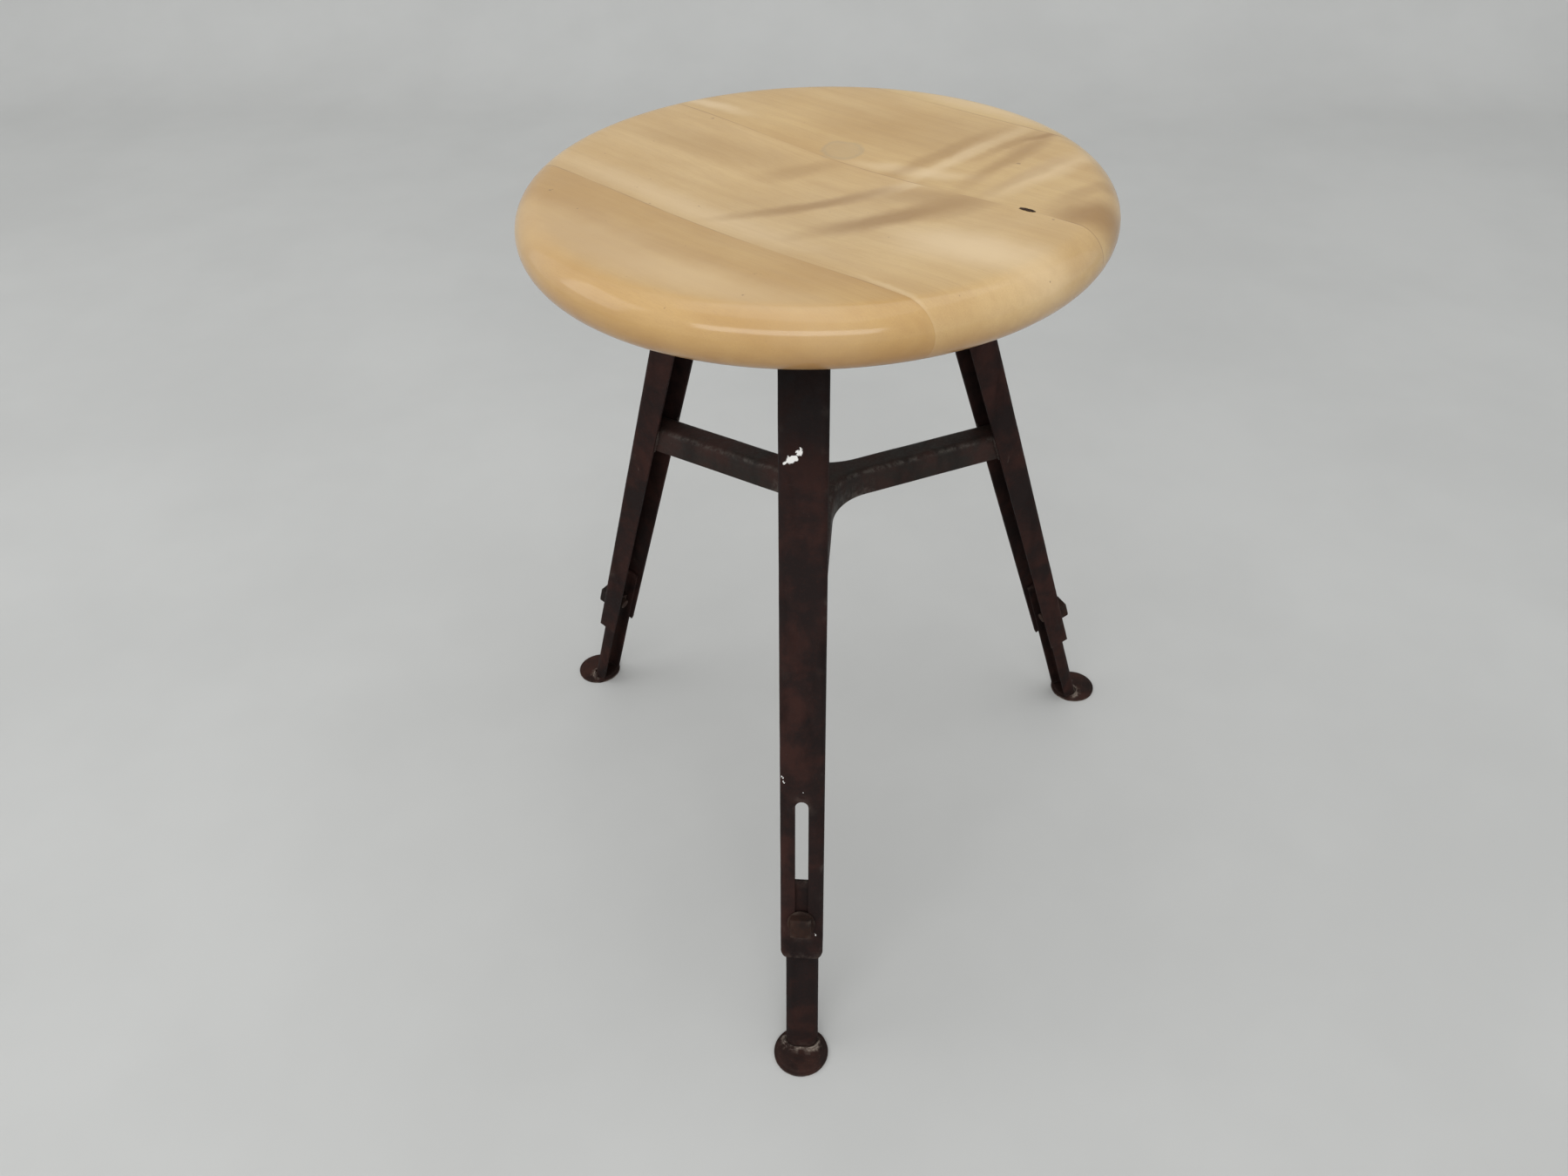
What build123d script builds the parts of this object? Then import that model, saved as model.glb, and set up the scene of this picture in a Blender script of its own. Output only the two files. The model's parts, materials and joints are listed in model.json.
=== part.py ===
# Three-legged workshop stool with a turned wooden seat on a swivel and telescoping sheet-steel legs.
# Origin on the floor under the seat's axis, +Z up, front leg towards -Y. Millimetres.
import os
from math import atan, cos, degrees, sin

from build123d import *

os.makedirs("parts", exist_ok=True)

# Seat: glued from boards, turned, shallow dish, full round edge
seat_radius = 175
seat_top = 515
seat_underside = 481
seat_edge_radius = (seat_top - seat_underside) / 2
dish_depth = 7
seat_crest_radius = seat_radius - seat_edge_radius
seat_mid_height = (seat_top + seat_underside) / 2
grain_azimuth = -38
board_seams = (-84, 39, 143)

# Legs: channels of folded sheet, web outwards, leaning in towards the top
leg_azimuths = {"front": -90, "right": 30, "left": 150}
sheet = 2
web_floor_radius = 249.8
leg_slope = 0.3171
leg_lean = atan(leg_slope)
outer_bottom = 79.5
outer_overlength = 505
outer_width_bottom = 28.3
outer_width_top = 29.8
outer_depth_bottom = 16.5
outer_depth_top = 22.5
outer_bend = 3.5
flange_lean = 0.05
outer_corner = 6
slot_width = 8.5
slot_bottom = 97
slot_top = 198.5

# Lower legs slide inside the outer ones
slide_gap = 0.35
lower_width = 22.4
lower_depth = 12
lower_bend = 6.5
lower_top = 138.5
foot_seat = 3

# Round feet
foot_radius = 18.4
foot_centre_radius = 248.5
foot_rim = 2.2
foot_rim_round = 0.8
foot_bead_height = 1.8
foot_bead_width = 2.2
foot_bead_gap = 0.4
foot_bead_depth = 7.2
foot_bead_taper = 22
foot_dome_radius = 16.8
foot_dome_taper = 60

# Clamp bolts through the slots
bolt_along = 108
bolt_radius = 3.95
bolt_hole_radius = 4
bolt_head = 13.5
bolt_head_height = 6.5
bolt_head_chamfer = 1
bolt_end = 9.5
clamp_slack = 0.1
clamp_washer_radius = 9.2
clamp_washer_thickness = 1.6
nut_across = 13
nut_height = 5.5
nut_boss_radius = 4.8
nut_boss_height = 1

# Brace: pressed spider of inverted channel arms
brace_top = 308.5
brace_height = 19
brace_width = 21.6
brace_fall = 0.035
brace_edge = 6
brace_fillet = 42
brace_reach = 170

# Top plate and its rivets
plate_underside = 470
plate_thickness = 4
plate_radius = 106
plate_edge = 1
tab_width = 20
tab_outer_radius = 100.5
tab_inner_radius = 70
rivet_radius = 3
rivet_hole_radius = 3.05
rivet_stations = (91, 78)
rivet_head_radius = 5.2
rivet_head_height = 2
rivet_head_taper = 30

# Swivel
housing_radius = 17
housing_bore = 13
housing_bottom = 418
bush_bore = 10.05
thrust_radius = 32
thrust_top = 476.7
seat_plate_radius = 70
seat_plate_underside = 477
spindle_radius = 10
spindle_thread_radius = 8
spindle_bottom = 397
retaining_radius = 16
retaining_thickness = 3
castle_across = 24
castle_height = 13
castle_bore = 8.05
castle_slot_width = 3.8
castle_slot_depth = 5
pin_radius = 1.5
pin_hole_radius = 1.55
pin_length = 30
pin_head_radius = 2.6
pin_height = 404
screw_circle = 58
screw_count = 6
screw_radius = 2.2
screw_length = 17
screw_head_radius = 4.6
screw_head_angle = 90
screw_first_angle = 30
edge_break = 0.6


def save(builder, name):
    builder.part.label = name
    export_step(builder.part, f"parts/{name}.step")


def outward(azimuth):
    return Vector(1, 0, 0).rotate(Axis.Z, azimuth)


def leg_plane(azimuth):
    """Section plane of a leg: x across it, y inwards from the web's face, z up along it."""
    out = outward(azimuth)
    up_leg = Vector(0, 0, 1) * cos(leg_lean) - out * sin(leg_lean)
    return Plane(origin=out * web_floor_radius, x_dir=Vector(0, 0, 1).cross(out), z_dir=up_leg)


def web_plane(azimuth, depth=0):
    """Plane on the web: x across the leg, y up along it, z outwards; depth is measured inwards."""
    leg = leg_plane(azimuth)
    return Plane(origin=leg.origin + leg.y_dir * depth, x_dir=leg.x_dir, z_dir=leg.y_dir * -1)


def level_plane(azimuth, height):
    """Level plane at a height: x across the leg at this azimuth, y towards the stool's axis."""
    return Plane(origin=(0, 0, height), x_dir=Vector(0, 0, 1).cross(outward(azimuth)), z_dir=(0, 0, 1))


def channel_section(plane, width, depth, bend, back=0, wall=sheet):
    """Section of a folded channel on a plane, the outer face of its web at y = back."""
    half = width / 2
    mouth = half - flange_lean * depth
    end = back + depth
    with BuildSketch(plane) as channel:
        with BuildLine():
            FilletPolyline((-mouth, end), (-half, back), (half, back), (mouth, end), radius=bend)
            offset(amount=wall, side=Side.LEFT)
        make_face()
    return channel.sketch


def lower_section(plane):
    return channel_section(plane, lower_width, lower_depth, lower_bend, back=sheet + slide_gap)


def make_outer_leg(name, azimuth):
    leg = leg_plane(azimuth)
    web = web_plane(azimuth)
    slot_middle = (slot_bottom + slot_top) / 2
    with BuildPart() as outer_leg:
        add(channel_section(leg.offset(outer_bottom), outer_width_bottom, outer_depth_bottom, outer_bend))
        add(channel_section(leg.offset(outer_overlength), outer_width_top, outer_depth_top, outer_bend))
        loft(ruled=True)
        split(bisect_by=Plane.XY.offset(plate_underside), keep=Keep.BOTTOM)
        # Rounded lower corners
        with BuildSketch(web):
            with Locations((0, outer_bottom)):
                Rectangle(2 * outer_width_bottom, 2 * outer_corner)
            with Locations((0, outer_bottom + outer_width_bottom)):
                RectangleRounded(outer_width_bottom + slide_gap, 2 * outer_width_bottom, outer_corner,
                                 mode=Mode.SUBTRACT)
        extrude(amount=-outer_depth_top, mode=Mode.SUBTRACT)
        # Slot for the clamp bolt
        with BuildSketch(web):
            with Locations((0, slot_middle)):
                SlotOverall(slot_top - slot_bottom, slot_width, rotation=90)
        extrude(amount=-2 * sheet, mode=Mode.SUBTRACT)
        # Tab turned in at the top, riveted to the plate
        with BuildSketch(level_plane(azimuth, plate_underside - sheet)):
            with Locations((0, -(tab_outer_radius + tab_inner_radius) / 2)):
                Rectangle(tab_width, tab_outer_radius - tab_inner_radius)
        extrude(amount=sheet)
        with BuildSketch(level_plane(azimuth, plate_underside - sheet)):
            with Locations(*[(0, -station) for station in rivet_stations]):
                Circle(rivet_hole_radius)
        extrude(amount=sheet, mode=Mode.SUBTRACT)
    save(outer_leg, f"outer_leg_{name}")


def make_lower_leg(name, azimuth):
    leg = leg_plane(azimuth)
    with BuildPart() as lower_leg:
        extrude(lower_section(leg.offset(-lower_depth)), amount=lower_top + lower_depth, dir=leg.z_dir)
        split(bisect_by=Plane.XY.offset(foot_seat), keep=Keep.TOP)
        with BuildSketch(web_plane(azimuth, sheet)):
            with Locations((0, bolt_along)):
                Circle(bolt_hole_radius)
        extrude(amount=-2 * sheet, mode=Mode.SUBTRACT)
    save(lower_leg, f"lower_leg_{name}")


def make_foot(name, azimuth):
    level = level_plane(azimuth, foot_seat)
    web_face_radius = web_floor_radius - leg_slope * foot_seat - (sheet + slide_gap) / cos(leg_lean)
    bead_reach = foot_bead_gap + foot_bead_width
    with BuildPart() as foot:
        with BuildSketch(level_plane(azimuth, 0)):
            with Locations((0, -foot_centre_radius)):
                Circle(foot_radius)
        extrude(amount=foot_rim)
        fillet(foot.edges().group_by(Axis.Z)[-1], foot_rim_round)
        with BuildSketch(level_plane(azimuth, foot_rim)):
            with Locations((0, -foot_centre_radius)):
                Circle(foot_dome_radius)
        extrude(amount=foot_seat - foot_rim, taper=foot_dome_taper)
        # Low bead around the leg's nose
        bead = channel_section(
            level,
            lower_width + 2 * bead_reach,
            foot_bead_depth + bead_reach,
            lower_bend + bead_reach,
            back=-web_face_radius - bead_reach,
            wall=foot_bead_width,
        )
        extrude(bead, amount=foot_bead_height, taper=foot_bead_taper)
    save(foot, f"foot_disc_{name}")


def make_clamp(name, azimuth):
    face = web_plane(azimuth)
    inside = sheet + slide_gap + sheet
    with BuildPart() as washer:
        with BuildSketch(face.offset(slide_gap)):
            with Locations((0, bolt_along)):
                Circle(clamp_washer_radius)
                Circle(bolt_hole_radius, mode=Mode.SUBTRACT)
        extrude(amount=clamp_washer_thickness)
    save(washer, f"clamp_washer_{name}")

    head_height = slide_gap + clamp_washer_thickness + clamp_slack
    head_face = face.offset(head_height)
    with BuildPart() as bolt:
        with BuildSketch(head_face):
            with Locations((0, bolt_along)):
                Rectangle(bolt_head, bolt_head)
        extrude(amount=bolt_head_height)
        chamfer(bolt.faces().sort_by(Axis(head_face.origin, head_face.z_dir))[-1].edges(), bolt_head_chamfer)
        with BuildSketch(head_face):
            with Locations((0, bolt_along)):
                Circle(bolt_radius)
        extrude(amount=-(head_height + inside + bolt_end))
    save(bolt, f"clamp_bolt_{name}")

    with BuildPart() as nut:
        with BuildSketch(web_plane(azimuth, inside)):
            with Locations((0, bolt_along)):
                Circle(nut_boss_radius)
        extrude(amount=-nut_boss_height)
        with BuildSketch(web_plane(azimuth, inside + nut_boss_height)):
            with Locations((0, bolt_along)):
                RegularPolygon(nut_across / 2, 6, major_radius=False, rotation=30)
        extrude(amount=nut_boss_height - nut_height)
        with BuildSketch(web_plane(azimuth, inside)):
            with Locations((0, bolt_along)):
                Circle(bolt_hole_radius)
        extrude(amount=-nut_height, mode=Mode.SUBTRACT)
    save(nut, f"clamp_nut_{name}")


def brace_solid(inset):
    """Solid spider, drawn in by inset all round; the brace is one of these less a smaller one."""
    half = brace_width / 2 - inset
    top = brace_top - inset
    with BuildPart() as spider:
        with BuildSketch(Plane.XY.offset(brace_top - brace_height - brace_reach * brace_fall)):
            for azimuth in leg_azimuths.values():
                middle = outward(azimuth) * (brace_reach / 2)
                with Locations((middle.X, middle.Y)):
                    Rectangle(brace_reach, 2 * half, rotation=azimuth)
        extrude(amount=2 * brace_height)
        inner_corners = spider.edges().filter_by(Axis.Z).sort_by(SortBy.DISTANCE)[:3]
        fillet(inner_corners, brace_fillet + inset)
        # Arms fall slightly from the hub to the legs
        with BuildSketch(Plane.XZ):
            with BuildLine():
                Polyline(
                    (0, top),
                    (2 * brace_reach, top - 2 * brace_reach * brace_fall),
                    (2 * brace_reach, top + brace_height * 2),
                    (0, top + brace_height * 2),
                    close=True,
                )
            make_face()
        revolve(axis=Axis.Z, mode=Mode.SUBTRACT)
        fillet(spider.faces().filter_by(GeomType.CONE).edges(), brace_edge - inset)
    return spider.part


def make_brace():
    with BuildPart() as brace:
        add(brace_solid(0))
        add(brace_solid(sheet), mode=Mode.SUBTRACT)
        with BuildSketch(Plane.XZ):
            with BuildLine():
                Polyline(
                    (0, brace_top - brace_height),
                    (2 * brace_reach, brace_top - brace_height - 2 * brace_reach * brace_fall),
                    (2 * brace_reach, brace_top - 2 * brace_height - 2 * brace_reach * brace_fall),
                    (0, brace_top - 3 * brace_height),
                    close=True,
                )
            make_face()
        revolve(axis=Axis.Z, mode=Mode.SUBTRACT)
        for azimuth in leg_azimuths.values():
            split(bisect_by=web_plane(azimuth, sheet + clamp_slack), keep=Keep.BOTTOM)
    save(brace, "y_brace")


def seat_profile():
    with BuildSketch(Plane.XZ) as profile:
        with BuildLine():
            dish = Spline(
                (0, seat_top - dish_depth),
                (seat_crest_radius, seat_top),
                tangents=((1, 0), (1, 0)),
            )
            rim = CenterArc((seat_crest_radius, seat_mid_height), seat_edge_radius, -90, 180)
            Line(rim @ 0, (0, seat_underside))
            Line((0, seat_underside), dish @ 0)
        make_face()
    return profile.sketch


def seam_plane(distance):
    """Upright plane along the grain, this far across it from the seat's axis; z points across."""
    across = Vector(0, 1, 0).rotate(Axis.Z, grain_azimuth)
    return Plane(origin=across * distance, x_dir=Vector(1, 0, 0).rotate(Axis.Z, grain_azimuth), z_dir=across)


def screw_spots():
    return PolarLocations(screw_circle, screw_count, start_angle=screw_first_angle)


def make_seat_boards():
    limits = (None, *board_seams, None)
    for number, (low, high) in enumerate(zip(limits, limits[1:]), start=1):
        with BuildPart() as board:
            add(seat_profile())
            revolve(axis=Axis.Z)
            if low is not None:
                split(bisect_by=seam_plane(low), keep=Keep.TOP)
            if high is not None:
                split(bisect_by=seam_plane(high), keep=Keep.BOTTOM)
            with BuildSketch(Plane.XY.offset(seat_underside)):
                with screw_spots():
                    Circle(screw_radius)
            extrude(amount=screw_length, mode=Mode.SUBTRACT)
        save(board, f"seat_board_{number}")


def make_top_plate():
    with BuildPart() as plate:
        with BuildSketch(Plane.XY.offset(plate_underside)):
            Circle(plate_radius)
            Circle(housing_bore, mode=Mode.SUBTRACT)
            for azimuth in leg_azimuths.values():
                with Locations(*[outward(azimuth) * station for station in rivet_stations]):
                    Circle(rivet_hole_radius, mode=Mode.SUBTRACT)
        extrude(amount=plate_thickness)
        fillet(plate.edges().filter_by(GeomType.CIRCLE).sort_by(SortBy.RADIUS)[-2:], plate_edge)
    save(plate, "top_plate")


def make_leg_rivets():
    with BuildPart() as rivets:
        for azimuth in leg_azimuths.values():
            for station in rivet_stations:
                spot = outward(azimuth) * station
                with BuildSketch(Plane.XY.offset(plate_underside - sheet)):
                    with Locations(spot):
                        Circle(rivet_radius)
                extrude(amount=sheet + plate_thickness)
                for level, direction in ((plate_underside + plate_thickness, 1), (plate_underside - sheet, -1)):
                    with BuildSketch(Plane(origin=(spot.X, spot.Y, level), z_dir=(0, 0, direction))):
                        Circle(rivet_head_radius)
                    extrude(amount=rivet_head_height, taper=rivet_head_taper)
    save(rivets, "leg_rivets")


def make_swivel():
    plate_top = plate_underside + plate_thickness
    with BuildPart() as housing:
        with BuildSketch(Plane.XY.offset(housing_bottom)):
            Circle(housing_radius)
            Circle(housing_bore, mode=Mode.SUBTRACT)
        extrude(amount=plate_underside - housing_bottom)
        chamfer(housing.edges().group_by(Axis.Z)[0].sort_by(SortBy.RADIUS)[-1], edge_break)
    save(housing, "pivot_housing")

    with BuildPart() as bush:
        with BuildSketch(Plane.XY.offset(housing_bottom)):
            Circle(housing_bore)
            Circle(bush_bore, mode=Mode.SUBTRACT)
        extrude(amount=plate_top - housing_bottom)
    save(bush, "swivel_bush")

    with BuildPart() as thrust_washer:
        with BuildSketch(Plane.XY.offset(plate_top)):
            Circle(thrust_radius)
            Circle(housing_bore, mode=Mode.SUBTRACT)
        extrude(amount=thrust_top - plate_top)
        chamfer(thrust_washer.edges().group_by(Axis.Z)[-1], edge_break)
    save(thrust_washer, "thrust_washer")

    with BuildPart() as seat_plate:
        with BuildSketch(Plane.XY.offset(seat_plate_underside)):
            Circle(seat_plate_radius)
            Circle(spindle_radius, mode=Mode.SUBTRACT)
        extrude(amount=seat_underside - seat_plate_underside)
        with Locations(Plane(origin=(0, 0, seat_plate_underside), z_dir=(0, 0, -1))):
            with screw_spots():
                CounterSinkHole(screw_radius, screw_head_radius, counter_sink_angle=screw_head_angle)
    save(seat_plate, "seat_plate")

    with BuildPart() as screws:
        with BuildSketch(Plane.XY.offset(seat_plate_underside)):
            with screw_spots():
                Circle(screw_head_radius)
        extrude(amount=screw_head_radius - screw_radius, taper=screw_head_angle / 2)
        with BuildSketch(Plane.XY.offset(seat_plate_underside)):
            with screw_spots():
                Circle(screw_radius)
        extrude(amount=seat_underside + screw_length - seat_plate_underside)
    save(screws, "seat_screws")

    thread_top = housing_bottom - slide_gap
    with BuildPart() as spindle:
        with BuildSketch(Plane.XY.offset(thread_top)):
            Circle(spindle_radius)
        extrude(amount=seat_underside - thread_top)
        with BuildSketch(Plane.XY.offset(spindle_bottom)):
            Circle(spindle_thread_radius)
        extrude(amount=thread_top - spindle_bottom)
        chamfer(spindle.edges().group_by(Axis.Z)[0], edge_break)
        with BuildSketch(Plane.XZ.offset(-spindle_radius)):
            with Locations((0, pin_height)):
                Circle(pin_hole_radius)
        extrude(amount=2 * spindle_radius, mode=Mode.SUBTRACT)
    save(spindle, "spindle")

    with BuildPart() as retaining_washer:
        with BuildSketch(Plane.XY.offset(thread_top)):
            Circle(retaining_radius)
            Circle(castle_bore, mode=Mode.SUBTRACT)
        extrude(amount=-retaining_thickness)
    save(retaining_washer, "retaining_washer")

    nut_top = thread_top - retaining_thickness
    with BuildPart() as castle_nut:
        with BuildSketch(Plane.XY.offset(nut_top)):
            RegularPolygon(castle_across / 2, 6, major_radius=False)
            Circle(castle_bore, mode=Mode.SUBTRACT)
        extrude(amount=-castle_height)
        with BuildSketch(Plane.XY.offset(nut_top - castle_height)):
            for angle in range(0, 180, 60):
                Rectangle(2 * castle_across, castle_slot_width, rotation=angle + 90)
        extrude(amount=castle_slot_depth, mode=Mode.SUBTRACT)
    save(castle_nut, "castle_nut")

    with BuildPart() as pin:
        with BuildSketch(Plane.XZ.offset(-pin_length / 2)):
            with Locations((0, pin_height)):
                Circle(pin_radius)
        extrude(amount=pin_length)
        with BuildSketch(Plane.XZ.offset(pin_length / 2)):
            with Locations((0, pin_height)):
                Circle(pin_head_radius)
        extrude(amount=pin_radius)
    save(pin, "split_pin")


for leg_name, leg_azimuth in leg_azimuths.items():
    make_outer_leg(leg_name, leg_azimuth)
    make_lower_leg(leg_name, leg_azimuth)
    make_foot(leg_name, leg_azimuth)
    make_clamp(leg_name, leg_azimuth)
make_brace()
make_seat_boards()
make_top_plate()
make_leg_rivets()
make_swivel()
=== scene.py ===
# Adjustable swivel stool: worn steel legs and a varnished, glued-up hardwood seat.
# Metres, +Z up, origin on the floor under the seat's axis, front leg towards -Y.
import json
import math
import random

import bmesh
import bpy
from mathutils import Matrix, Vector, kdtree, noise

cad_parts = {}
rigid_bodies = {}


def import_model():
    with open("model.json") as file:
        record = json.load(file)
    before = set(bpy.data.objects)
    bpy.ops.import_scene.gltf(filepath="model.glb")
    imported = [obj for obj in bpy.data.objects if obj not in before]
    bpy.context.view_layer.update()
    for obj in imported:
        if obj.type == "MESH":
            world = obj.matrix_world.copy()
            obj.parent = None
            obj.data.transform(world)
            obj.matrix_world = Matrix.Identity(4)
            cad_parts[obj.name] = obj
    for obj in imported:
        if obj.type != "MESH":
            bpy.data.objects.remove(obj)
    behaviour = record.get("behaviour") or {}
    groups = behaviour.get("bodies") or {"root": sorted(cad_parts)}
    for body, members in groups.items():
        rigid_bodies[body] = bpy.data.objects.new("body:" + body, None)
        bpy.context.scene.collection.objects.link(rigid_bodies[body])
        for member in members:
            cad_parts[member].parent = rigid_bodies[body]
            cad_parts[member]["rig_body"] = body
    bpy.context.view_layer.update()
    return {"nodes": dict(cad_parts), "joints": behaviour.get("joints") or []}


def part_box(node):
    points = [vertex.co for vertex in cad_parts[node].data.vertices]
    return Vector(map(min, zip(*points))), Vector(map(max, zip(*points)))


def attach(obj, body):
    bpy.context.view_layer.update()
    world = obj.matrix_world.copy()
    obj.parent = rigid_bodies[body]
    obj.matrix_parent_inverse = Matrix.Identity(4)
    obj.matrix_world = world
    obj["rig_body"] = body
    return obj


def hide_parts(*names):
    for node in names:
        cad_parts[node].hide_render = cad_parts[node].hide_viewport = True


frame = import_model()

mm = 0.001
legNames = ("front", "right", "left")
joints = {joint["name"]: joint for joint in frame["joints"]}


def startMaterial(name):
    material = bpy.data.materials.new(name)
    material.use_nodes = True
    tree = material.node_tree
    return material, tree, tree.nodes["Principled BSDF"]


def setSocket(tree, socket, value):
    if isinstance(value, bpy.types.NodeSocket):
        tree.links.new(value, socket)
    elif isinstance(value, tuple) and len(value) == 3 and socket.type == "RGBA":
        socket.default_value = (*value, 1)
    else:
        socket.default_value = value


def mathNode(tree, operation, first, second=0.5, clamp=False):
    node = tree.nodes.new("ShaderNodeMath")
    node.operation = operation
    node.use_clamp = clamp
    setSocket(tree, node.inputs[0], first)
    setSocket(tree, node.inputs[1], second)
    return node.outputs[0]


def vectorNode(tree, operation, first, second=(0, 0, 0), scale=1.0):
    node = tree.nodes.new("ShaderNodeVectorMath")
    node.operation = operation
    setSocket(tree, node.inputs[0], first)
    if operation == "SCALE":
        node.inputs[3].default_value = scale
    else:
        setSocket(tree, node.inputs[1], second)
    return node.outputs[1] if operation in ("LENGTH", "DISTANCE") else node.outputs[0]


def mapped(tree, coords, turn=(0, 0, 0), stretch=(1, 1, 1)):
    node = tree.nodes.new("ShaderNodeMapping")
    setSocket(tree, node.inputs["Vector"], coords)
    node.inputs["Rotation"].default_value = turn
    node.inputs["Scale"].default_value = stretch
    return node.outputs[0]


def noiseNode(tree, coords, scale, detail=4.0, rough=0.55, bend=0.0, part="Fac"):
    node = tree.nodes.new("ShaderNodeTexNoise")
    setSocket(tree, node.inputs["Vector"], coords)
    node.inputs["Scale"].default_value = scale
    node.inputs["Detail"].default_value = detail
    node.inputs["Roughness"].default_value = rough
    node.inputs["Distortion"].default_value = bend
    return node.outputs[part]


def rangeNode(tree, value, low, high, newLow=0.0, newHigh=1.0):
    node = tree.nodes.new("ShaderNodeMapRange")
    node.interpolation_type = "SMOOTHSTEP"
    setSocket(tree, node.inputs["Value"], value)
    for key, number in (("From Min", low), ("From Max", high), ("To Min", newLow), ("To Max", newHigh)):
        node.inputs[key].default_value = number
    return node.outputs[0]


def mixColour(tree, amount, first, second):
    node = tree.nodes.new("ShaderNodeMix")
    node.data_type = "RGBA"
    setSocket(tree, node.inputs["Factor"], amount)
    setSocket(tree, node.inputs[6], first)
    setSocket(tree, node.inputs[7], second)
    return node.outputs[2]


def bumpNode(tree, height, strength, distance, normal=None):
    node = tree.nodes.new("ShaderNodeBump")
    node.inputs["Strength"].default_value = strength
    node.inputs["Distance"].default_value = distance
    setSocket(tree, node.inputs["Height"], height)
    if normal is not None:
        setSocket(tree, node.inputs["Normal"], normal)
    return node.outputs[0]


def objectCoords(tree):
    return tree.nodes.new("ShaderNodeTexCoord").outputs["Object"]


def partOf(tree, vector, axis):
    node = tree.nodes.new("ShaderNodeSeparateXYZ")
    setSocket(tree, node.inputs[0], vector)
    return node.outputs[axis]


def nudged(tree, coords, wobble, amount):
    # coordinates pushed about by a coloured noise, so that what they carry gets an uneven edge
    centred = vectorNode(tree, "SUBTRACT", wobble, (0.5, 0.5, 0.5))
    return vectorNode(tree, "ADD", coords, vectorNode(tree, "SCALE", centred, scale=amount))


def fadeIn(tree, value, low, high, strength, colour, tone):
    # lays a tone over the colour where the value rises past low
    return mixColour(tree, rangeNode(tree, value, low, high, 0.0, strength), colour, tone)


def blotch(tree, coords, centre, angle, halfLength, halfWidth, soft=0.6):
    # an oval patch: 1 in its middle, falling to 0 past its edge; coords in metres
    fromCentre = vectorNode(tree, "SUBTRACT", coords, (centre[0] * mm, centre[1] * mm, 0))
    turned = mapped(tree, fromCentre, turn=(0, 0, -math.radians(angle)), stretch=(1, 1, 0))
    shape = mapped(tree, turned, stretch=(1 / (halfLength * mm), 1 / (halfWidth * mm), 0))
    return rangeNode(tree, vectorNode(tree, "LENGTH", shape), 1 + soft, max(0.0, 1 - soft))


seatWood = {
    "grainAzimuth": -38,
    "seams": (-84, 39, 143),        # across the grain, mm from the axis
    "fibre": (22, 1500, 1500),      # along, across, up
    "figure": (5, 40, 40),
    "flame": (0.335, 0.185, 0.06),
    "light": (0.74, 0.555, 0.33),
    # colour of the painted shade low on the rim, with an amber tint
    "rimShadeAmber": (0.30, 0.13, 0.03),
    "ring": (0.40, 0.235, 0.10),
    "pore": (0.33, 0.19, 0.08),
    "fleck": (0.30, 0.165, 0.065),
    "glue": (0.23, 0.12, 0.05),
    "stain": (0.36, 0.30, 0.20),
    "stainEdge": (0.33, 0.26, 0.16),
    "speck": (0.16, 0.09, 0.045),
    "scratch": (0.78, 0.62, 0.42),
    "stainPlace": (-24.8, 52.2),    # along, across
    "rimShadeFrom": 0.503,             # heights between which painted shade under the rim deepens
    "rimShadeTo": 0.484,
    "coat": 0.75,
    "coatRoughness": 0.13,
    "roughness": 0.5,
}

# pale and darker tone of each board; flames are (along, across, angle, half length, half width, strength)
boardLooks = {
    "seat_board_1": {
        "pale": (0.545, 0.345, 0.132),
        "deep": (0.46, 0.268, 0.09),
        "shift": (0.3, 0.1, 0.0),
        "flames": (),
        "lights": ((-40, -140, 0, 90, 22, 0.3), (60, -132, 10, 60, 14, 0.3)),
    },
    "seat_board_2": {
        "pale": (0.63, 0.435, 0.205),
        "deep": (0.545, 0.355, 0.15),
        "shift": (1.7, 0.4, 0.2),
        "flames": (
            (14, -22, 65, 44, 6, 0.72),
            (24, -4, 65, 26, 6, 0.35),
            (64, -8, 66, 44, 9, 0.85),
            (60, 25, 20, 34, 10, 0.45),
            (88, 20, 66, 22, 8, 0.4),
            (-24, 15, 66, 26, 8, 0.35),
            (-75, 5, 14, 60, 15, 0.35),
        ),
        "lights": (
            (128, -18, 8, 40, 18, 0.7),
            (-40, -70, 0, 90, 10, 0.4),
            (36, 22, 62, 34, 5, 0.45),
            (125, -83, -4, 20, 2, 0.35),
        ),
    },
    "seat_board_3": {
        "pale": (0.605, 0.41, 0.18),
        "deep": (0.52, 0.33, 0.13),
        "shift": (3.1, 0.9, 0.5),
        "flames": (
            (0, 100, 20, 60, 28, 0.3),
            (30, 80, 80, 46, 6, 0.5),
            (69, 100, 92, 44, 6, 0.6),
            (56, 118, 84, 26, 4, 0.45),
            (66, 138, 58, 16, 3, 0.8),
            (92, 80, 84, 34, 5, 0.35),
            (152, 58, 58, 24, 15, 0.95),
            (134, 88, 78, 30, 6, 0.4),
        ),
        "lights": (
            (30, 52, 14, 36, 6, 0.5),
            (43, 90, 84, 44, 5, 0.55),
            (98, 92, 84, 40, 8, 0.5),
            (-140, 52, 6, 26, 5, 0.6),
        ),
    },
    "seat_board_4": {
        "pale": (0.65, 0.455, 0.205),
        "deep": (0.56, 0.375, 0.15),
        "shift": (4.4, 1.3, 0.1),
        "flames": (),
        "lights": ((0, 156, 0, 70, 8, 0.4),),
    },
}


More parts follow.
